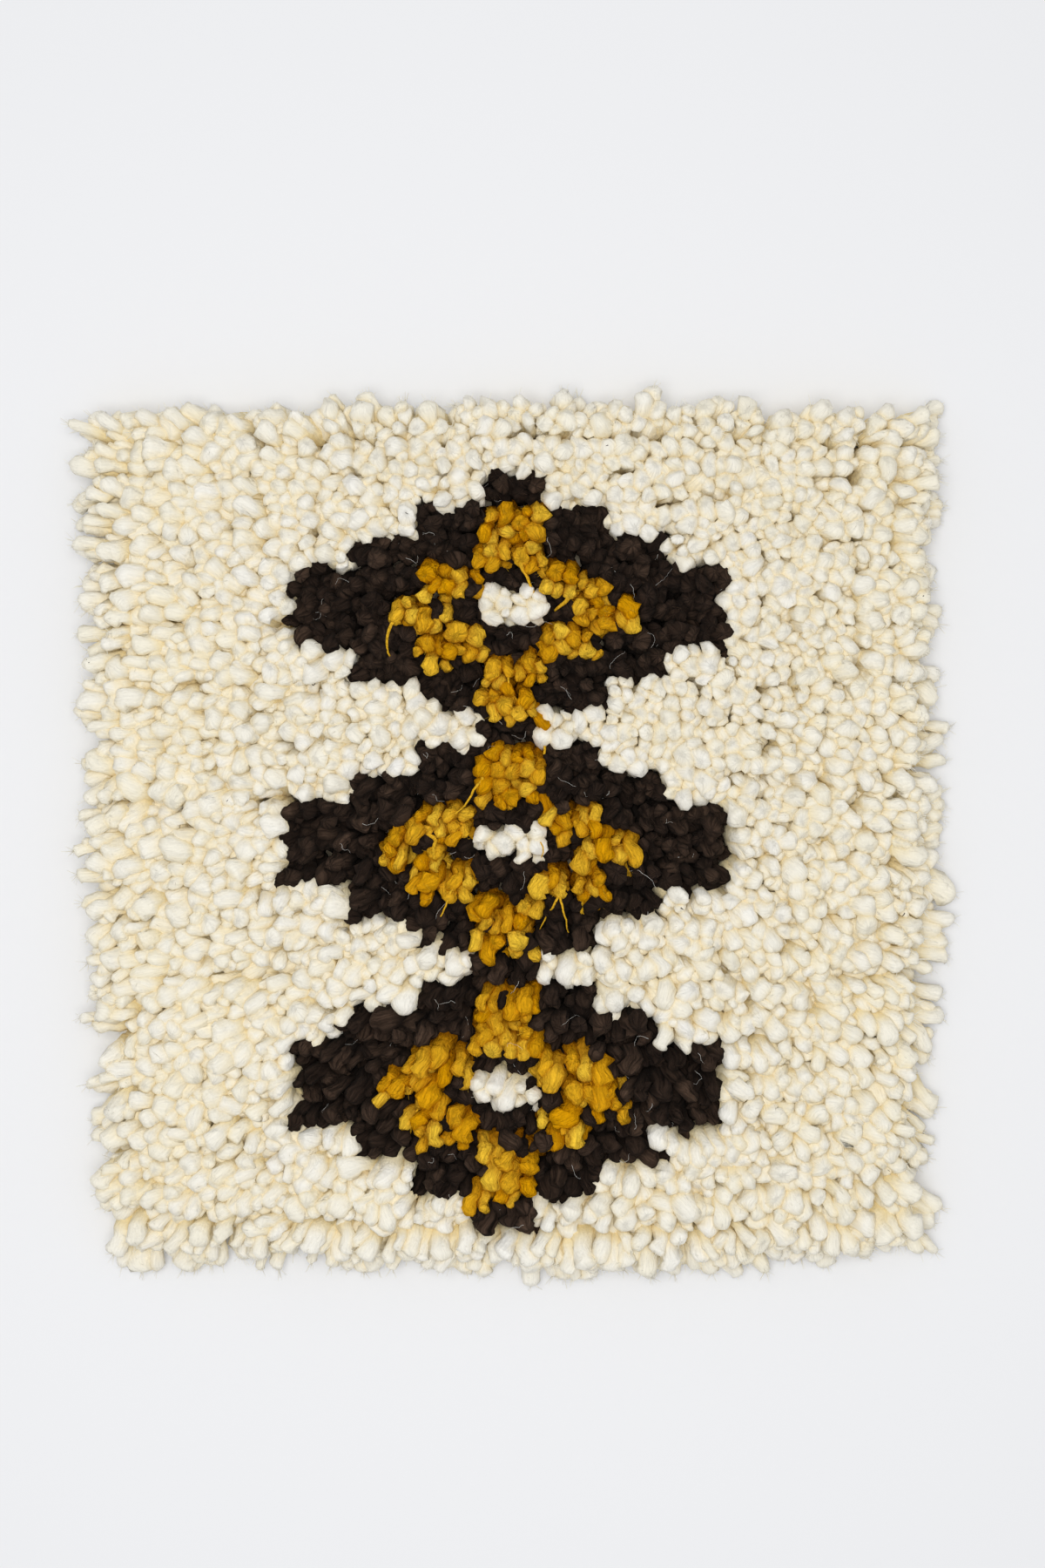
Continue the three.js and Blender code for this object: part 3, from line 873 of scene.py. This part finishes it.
# how far up each yarn the painted crease shade reaches: a power below 1 widens it
creasePower = {"cream_wool": 1.0, "brown_wool": 0.55, "mustard_wool": 0.8}
for name, (material, slotName, form, mask) in parts.items():
    index = np.nonzero(mask)[0]
    some = pick(end, index)
    shape = strandTubes(some, form, random)
    tone = tones["least"] + tones["nearFigure"] * np.exp(-some["gap"] / tones["fade"])
    tone = tone + tones["scatter"] * random.standard_normal(len(index))
    if slotName != "cream_wool":
        tone = random.random(len(index))**tones["colouredPower"]
    piece = makePiece(name, shape, material, {
        "tipShare": shape["share"],
        "strandTone": np.repeat(np.clip(tone, 0, 1), shape["each"]),
        "crease": creaseShares(shape["points"], index, end)**creasePower[slotName],
    })
    if name == "cream_pile_head":
        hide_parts("shag_pile")

# Loose fibres, in metres: frizz at the rim, short fuzz and pale hairs on the coloured yarns, and thin
# trailing ends of the mustard yarn. A fibre starts at a yarn's tip, moved by lift in that yarn's radii, and
# points along aim with a scatter of spread.
fuzz = {
    "look": (fibreMaterial, "cream_wool"),
    "yarn": cream,
    "count": 2500,
    "aim": (0, 0, 0.7),
    "spread": 0.8,
    "lift": (0, 0, 0.7),
    "length": (0.002, 0.006),
    "radius": 0.00016,
    "curl": 0.4,
    "sides": 3,
    "sections": 2,
    "tone": 0.5,
}
frizz = dict(
    fuzz,
    each=7,
    within=0.012,
    flatten=(1, 1, 0.4),
    start=0.6,
    spread=0.5,
    length=(0.002, 0.008),
    radius=0.00028,
    curl=0.35,
)
kinds = {
    "cream_fuzz": fuzz,
    "dark_flecks": dict(
        fuzz,
        look=(brownMaterial, "brown_wool"),
        count=26,
        aim=(0.2, 0, 0),
        spread=(1, 1, 0.1),
        lift=(0, 0, 0.85),
        length=(0.001, 0.003),
        radius=0.00035,
        curl=0.3,
        sides=4,
        sections=3,
        tone=0.6,
    ),
    "brown_fuzz": dict(fuzz, look=(brownMaterial, "brown_wool"), yarn=brown, count=2600, tone=1.0),
    "mustard_fuzz": dict(fuzz, look=(mustardMaterial, "mustard_wool"), yarn=mustard, count=866, tone=0.9),
    "pale_hairs": dict(
        fuzz,
        yarn=brown,
        count=120,
        aim=(0.3, 0, 0.1),
        spread=(1, 1, 0.12),
        lift=(0, 0, 0.9),
        length=(0.007, 0.020),
        radius=0.00009,
        curl=0.42,
        sections=10,
        tone=0.9,
    ),
    "mustard_wisps": dict(
        fuzz,
        look=(mustardMaterial, "mustard_wool"),
        yarn=mustard,
        count=14,
        aim=(0, -1, -0.06),
        spread=(0.5, 0.2, 0.05),
        lift=(0, -0.5, 0.5),
        length=(0.014, 0.032),
        radius=0.0012,
        curl=0.22,
        sides=6,
        sections=9,
    ),
}


def addFibres(name, kind, chosen, aim, lift):
    # for each chosen end, start = tip + radius * lift and heading = aim + spread * a random direction
    count = len(chosen)
    heading = unit(aim + np.array(kind["spread"]) * random.standard_normal((count, 3)))
    start = end["beads"][chosen, -1] + end["radius"][chosen, None] * lift
    length = random.uniform(*kind["length"], count)
    thick = kind["radius"] * random.uniform(0.6, 1.3, count)
    shape = looseFibres(start, heading, length, thick, kind, random)
    material, slotName = kind["look"]
    makePiece(name, shape, material, {"tipShare": 1.0, "strandTone": kind["tone"], "crease": 0.0})


atRim = isCream & (np.minimum(*edgeGaps(end["across"], end["along"])) < frizz["within"])
rimEnds = np.repeat(np.nonzero(atRim)[0], frizz["each"])
outward = unit(end["beads"][rimEnds, -1] - end["root"][rimEnds]) * np.array(frizz["flatten"])
addFibres("rim_frizz", frizz, rimEnds, outward, frizz["start"] * outward)
for name, kind in kinds.items():
    chosen = random.choice(np.nonzero(end["yarn"] == kind["yarn"])[0], kind["count"])
    addFibres(name, kind, chosen, np.array(kind["aim"]), np.array(kind["lift"]))

# The ground cloth is a plain weave. The knots' backs show on its underside, two bumps for each tuft. Lengths
# are in metres, and its reach is in shares of the rug's half width and half length.
ground = {
    "columns": 80,
    "lines": 86,
    "reach": (0.945, 0.972),
    "weave": (0.72, 0.64, 0.48),
    # painted shade where the weave dips, and a darker tone where its noise is low
    "weaveDipShadeAndTone": (0.55, 0.46, 0.32),
    "threadPitch": 0.0036,
    "unevenness": 260.0,
    "bump": 0.8,
    "bumpDepth": 0.0008,
    "knotWidth": 0.0036,
    "knotLength": 0.0062,
    "knotApart": 0.0072,
    "knotHeight": 0.0019,
    "knotMiddle": 0.0023,  # the knots go round the warps, so they show on both faces
    "knotScatter": 0.0004,
    "knotSizes": (0.88, 1.1),
    "knotSides": 6,
    "knotLatitudes": (-52, 0, 52),
}


def groundCloth():
    # a slab between two grids in plan, joined by a wall round their rim
    columns, lines = ground["columns"], ground["lines"]
    side = np.linspace(-ground["reach"][0], ground["reach"][0], columns)
    down = np.linspace(-ground["reach"][1], ground["reach"][1], lines)
    x, y = planPoint(*np.meshgrid(side, down))
    low = np.stack([x, y, np.full_like(x, rug["underside"])], -1).reshape(-1, 3)
    high = np.stack([x, y, np.full_like(x, rug["ground"])], -1).reshape(-1, 3)
    i, j = np.meshgrid(np.arange(columns - 1), np.arange(lines - 1))
    a = (j * columns + i).ravel()
    top = np.stack([a, a + 1, a + columns + 1, a + columns], 1) + len(low)
    bottom = np.stack([a, a + columns, a + columns + 1, a + 1], 1)
    loop = np.concatenate([
        np.arange(columns - 1),
        (np.arange(lines - 1) + 1) * columns - 1,
        lines * columns - 1 - np.arange(columns - 1),
        (lines - 1 - np.arange(lines - 1)) * columns,
    ])
    following = np.roll(loop, -1)
    wall = np.stack([loop, following, following + len(low), loop + len(low)], 1)
    points = np.concatenate([low, high])
    return {
        "points": points,
        "quads": np.concatenate([top, bottom, wall]),
        "triangles": np.zeros((0, 3), int),
        "place": points,
    }


def knotBacks(tufts, random):
    # flat ellipsoids: each of their rings is cos(latitude) wide and lies at sin(latitude) of the half length
    x = np.concatenate([tufts["x"] - ground["knotApart"] / 2, tufts["x"] + ground["knotApart"] / 2])
    y = np.concatenate([tufts["y"], tufts["y"]])
    y = y + ground["knotScatter"] * random.standard_normal(len(y))
    centre = np.stack([x, y, np.full_like(x, ground["knotMiddle"])], 1)
    sides = ground["knotSides"]
    latitude = np.radians(ground["knotLatitudes"])
    angle = 2 * math.pi * np.arange(sides) / sides
    ring = np.stack([
        np.cos(latitude)[:, None] * np.cos(angle),
        np.sin(latitude)[:, None] * np.ones(sides),
        np.cos(latitude)[:, None] * np.sin(angle),
    ], -1).reshape(-1, 3)
    ball = np.concatenate([ring, [[0, -1, 0], [0, 1, 0]]])
    scale = np.array([ground["knotWidth"], ground["knotLength"], ground["knotHeight"]])
    scale = scale * random.uniform(*ground["knotSizes"], (len(x), 1, 1))
    quads, triangles = tubeFaces(len(x), sides, len(latitude))
    points = (centre[:, None] + scale * ball).reshape(-1, 3)
    return {"points": points, "quads": quads[:, ::-1], "triangles": triangles[:, ::-1], "place": points}


def weaveGroup():
    # A plain weave in plan: height = 1/2 + sin(pi x / pitch) sin(pi y / pitch) / 2, and the shade is that
    # times a noise: painted shade, darker where the weave dips, and a tone that changes by the noise
    inputs = (("Place", "Vector"), ("Pitch", "Float"))
    group, source, sink = addGroup("plainWeave", inputs, (("Height", "Float"), ("Shade", "Float")))
    link = group.links.new
    parts = addNode(group, "ShaderNodeSeparateXYZ")
    link(source.outputs["Place"], parts.inputs[0])
    waves = []
    for axis in ("X", "Y"):
        share = mathNode(group, "DIVIDE", parts.outputs[axis], source.outputs["Pitch"])
        waves.append(mathNode(group, "SINE", mathNode(group, "MULTIPLY", share, math.pi)))
    height = mathNode(group, "MULTIPLY_ADD", mathNode(group, "MULTIPLY", *waves), 0.5, 0.5)
    noise = addNode(group, "ShaderNodeTexNoise")
    noise.inputs["Scale"].default_value = ground["unevenness"]
    noise.inputs["Detail"].default_value = 3
    link(source.outputs["Place"], noise.inputs["Vector"])
    link(height, sink.inputs["Height"])
    link(mathNode(group, "MULTIPLY", height, noise.outputs["Fac"]), sink.inputs["Shade"])
    return group


def weaveMaterial(name):
    material, tree, shader = plainMaterial(name, 0.9, 0.2)
    link = tree.links.new
    place = addNode(tree, "ShaderNodeTexCoord")
    weave = addNode(tree, "ShaderNodeGroup")
    weave.node_tree = weaveGroup()
    weave.inputs["Pitch"].default_value = ground["threadPitch"]
    link(place.outputs["Object"], weave.inputs["Place"])
    # painted shade in the weave's dips, with a tone that changes by a noise
    colour = mixColours(tree, weave.outputs["Shade"], (*ground["weaveDipShadeAndTone"], 1), (*ground["weave"], 1))
    link(colour, shader.inputs["Base Color"])
    bump = addNode(tree, "ShaderNodeBump")
    bump.inputs["Strength"].default_value = ground["bump"]
    bump.inputs["Distance"].default_value = ground["bumpDepth"]
    link(weave.outputs["Height"], bump.inputs["Height"])
    link(bump.outputs["Normal"], shader.inputs["Normal"])
    return material


cloth = makePiece("ground_cloth", groundCloth(), weaveMaterial("groundWeave"), {})
tufts = tuftTable()
tufts["x"], tufts["y"] = knotPoint(tufts["x"], tufts["y"])
yarns = {
    "cream_knots": (creamMaterial, "cream_wool", cream),
    "brown_knots": (brownMaterial, "brown_wool", brown),
    "mustard_knots": (mustardMaterial, "mustard_wool", mustard),
}
for name, (material, slotName, yarn) in yarns.items():
    shape = knotBacks(pick(tufts, tufts["yarn"] == yarn), random)
    makePiece(name, shape, material, {"tipShare": 0.8, "strandTone": 0.3, "crease": 0.0})

# The floor, the light and the camera, in metres. The camera looks straight down.
studio = {
    "floor": (0.86, 0.862, 0.872),
    "floorReach": 4,
    "cameraX": 0.005,
    "cameraY": 0.0306,
    "cameraHeight": 1.52,
    "lens": 60.0,
    "sky": (0.97, 0.98, 1.0),
    "skyStrength": 0.55,
    "keyPlace": (-0.12, 0.0, 2.2),
    "keySize": 1.2,
    "keyPower": 26.0,
}
floorMesh = bpy.data.meshes.new("floor")
far = studio["floorReach"]
floorMesh.from_pydata([(-far, -far, 0), (far, -far, 0), (far, far, 0), (-far, far, 0)], [], [(0, 1, 2, 3)])
floor = bpy.data.objects.new("floor", floorMesh)
bpy.context.scene.collection.objects.link(floor)
paper, paperTree, paperShader = plainMaterial("paper", 0.8, 0.1)
paperShader.inputs["Base Color"].default_value = (*studio["floor"], 1)
floorMesh.materials.append(paper)

world = bpy.data.worlds.new("studio")
world.use_nodes = True
sky = world.node_tree.nodes["Background"].inputs
sky["Color"].default_value = (*studio["sky"], 1)
sky["Strength"].default_value = studio["skyStrength"]
bpy.context.scene.world = world

keyData = bpy.data.lights.new("key", "AREA")
keyData.shape = "SQUARE"
keyData.size = studio["keySize"]
keyData.energy = studio["keyPower"]
key = bpy.data.objects.new("key", keyData)
key.location = studio["keyPlace"]
key.rotation_mode = "QUATERNION"
key.rotation_quaternion = (-Vector(studio["keyPlace"])).to_track_quat("-Z", "Y")
bpy.context.scene.collection.objects.link(key)

camera = bpy.data.objects.new("camera", bpy.data.cameras.new("camera"))
camera.data.lens = studio["lens"]
camera.data.sensor_width = 36
camera.location = (studio["cameraX"], studio["cameraY"], studio["cameraHeight"])
bpy.context.scene.collection.objects.link(camera)
bpy.context.scene.camera = camera
bpy.context.scene.view_settings.view_transform = "Standard"
print("studio ready")
